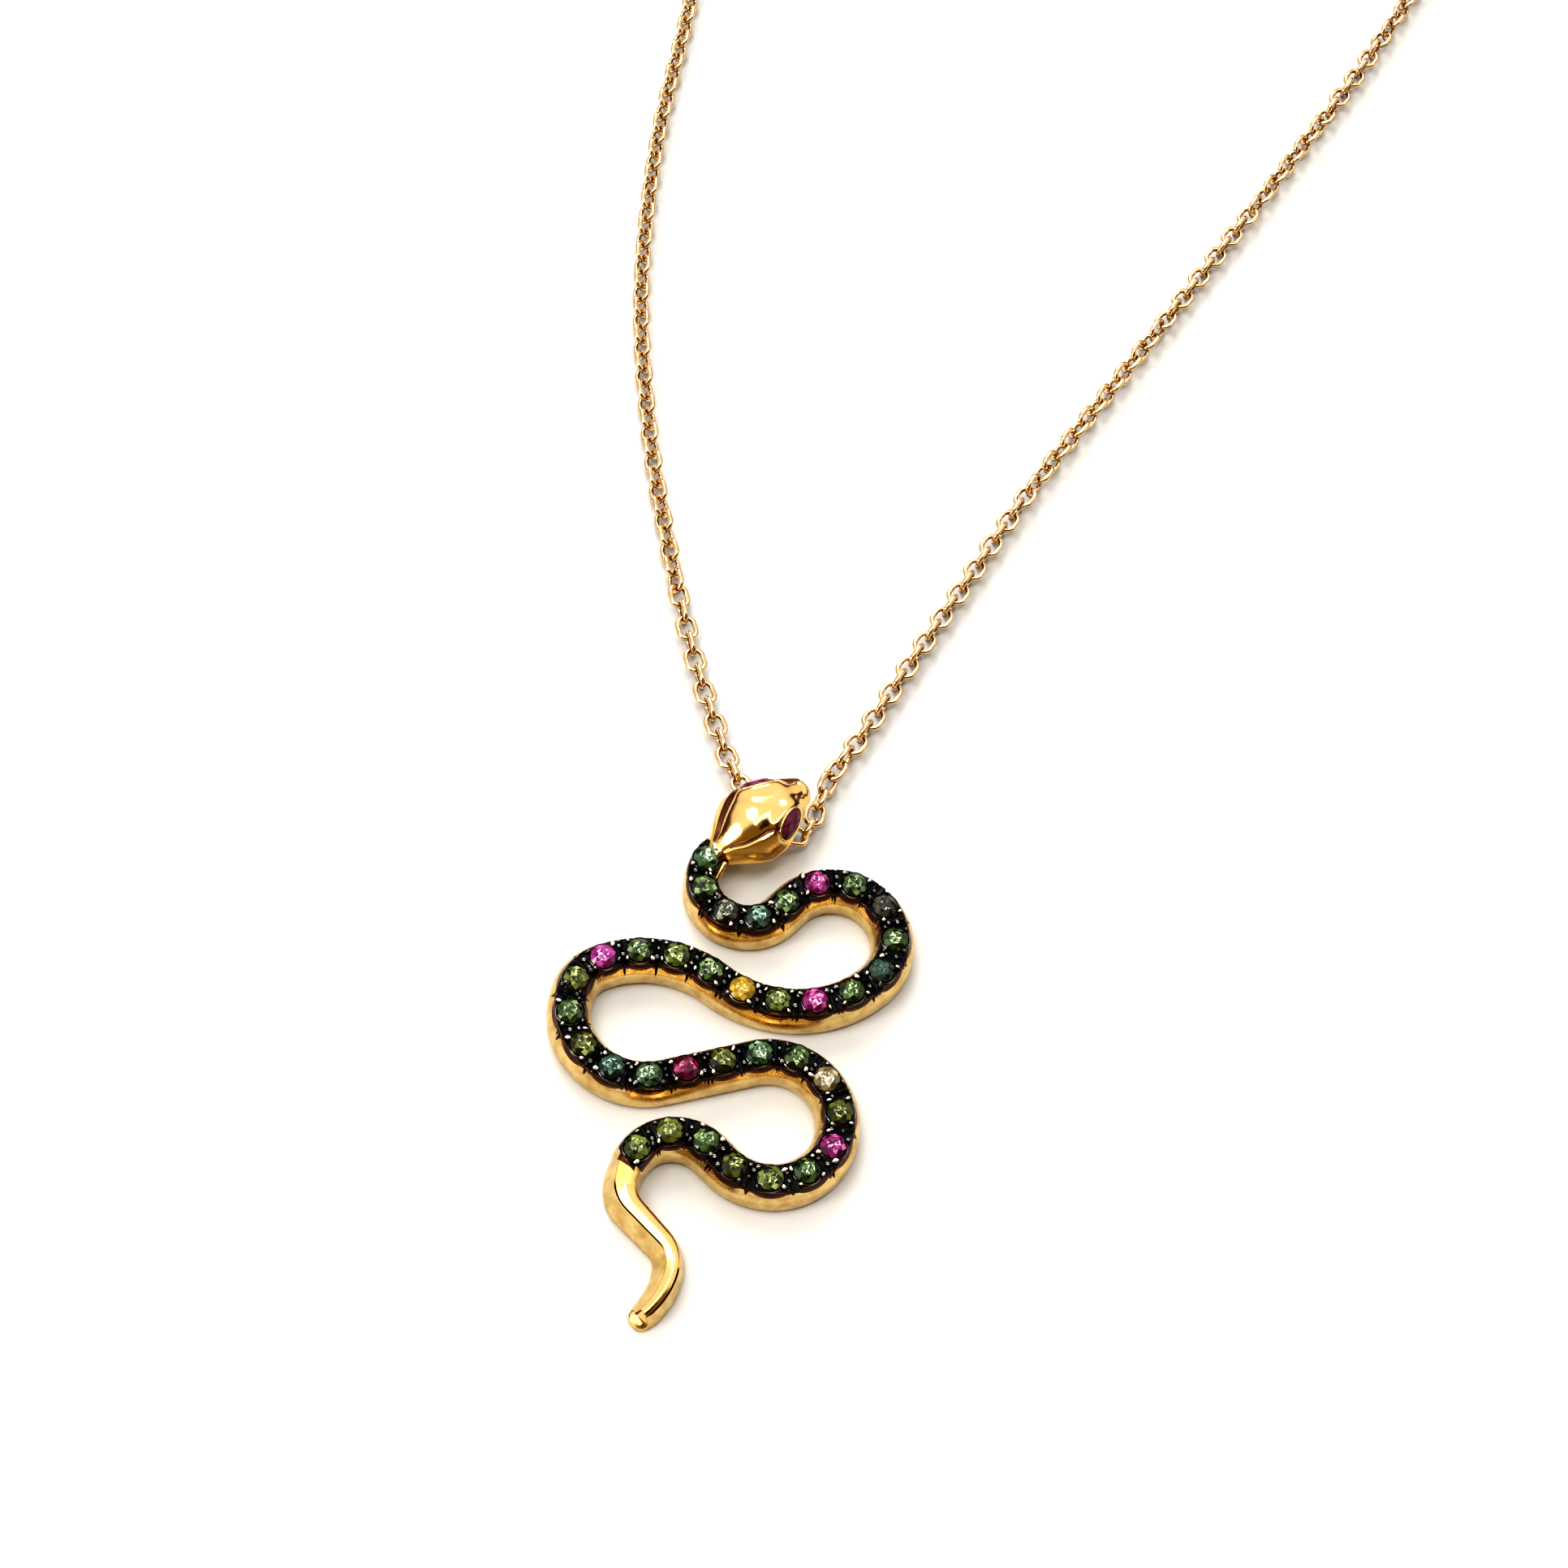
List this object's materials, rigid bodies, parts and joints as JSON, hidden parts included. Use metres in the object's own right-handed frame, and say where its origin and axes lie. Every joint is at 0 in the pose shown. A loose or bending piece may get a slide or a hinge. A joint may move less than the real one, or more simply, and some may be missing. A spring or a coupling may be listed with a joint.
{
  "type": "snake pendant necklace",
  "caption": "Serpentine snake pendant with a flat back, a row of small round stones and a raised head with oval eyes, on a fine cable chain that runs through a hidden bail.",
  "frame": {"origin": "on the pendant's flat back, halfway along the straight stretch in the middle of its body", "axes": "+Z out of the jewelled front, +Y from the tail towards the head and along the necklace"},
  "size_m": [0.063, 0.219, 0.0035],
  "materials": {
    "yellow_gold": "polished, black rhodium plate round the stones",
    "rose_gold": "polished",
    "green_sapphire": "cut",
    "teal_sapphire": "cut",
    "olive_sapphire": "cut",
    "pink_sapphire": "cut",
    "yellow_sapphire": "cut",
    "ruby": "cut"
  },
  "bodies": {
    "root": {"snake_body": "yellow_gold", "eye_left": "ruby", "eye_right": "ruby", "chain": "rose_gold", "clasp": "rose_gold", "stone_01": "green_sapphire", "stone_02": "green_sapphire", "stone_03": "teal_sapphire", "stone_04": "teal_sapphire", "stone_05": "green_sapphire", "stone_06": "pink_sapphire", "stone_07": "green_sapphire", "stone_08": "teal_sapphire", "stone_09": "green_sapphire", "stone_10": "teal_sapphire", "stone_11": "green_sapphire", "stone_12": "pink_sapphire", "stone_13": "olive_sapphire", "stone_14": "yellow_sapphire", "stone_15": "green_sapphire", "stone_16": "olive_sapphire", "stone_17": "green_sapphire", "stone_18": "pink_sapphire", "stone_19": "olive_sapphire", "stone_20": "green_sapphire", "stone_21": "olive_sapphire", "stone_22": "green_sapphire", "stone_23": "green_sapphire", "stone_24": "pink_sapphire", "stone_25": "olive_sapphire", "stone_26": "green_sapphire", "stone_27": "green_sapphire", "stone_28": "olive_sapphire", "stone_29": "olive_sapphire", "stone_30": "pink_sapphire", "stone_31": "green_sapphire", "stone_32": "olive_sapphire", "stone_33": "olive_sapphire", "stone_34": "green_sapphire", "stone_35": "olive_sapphire", "stone_36": "green_sapphire"}
  },
  "joints": []
}
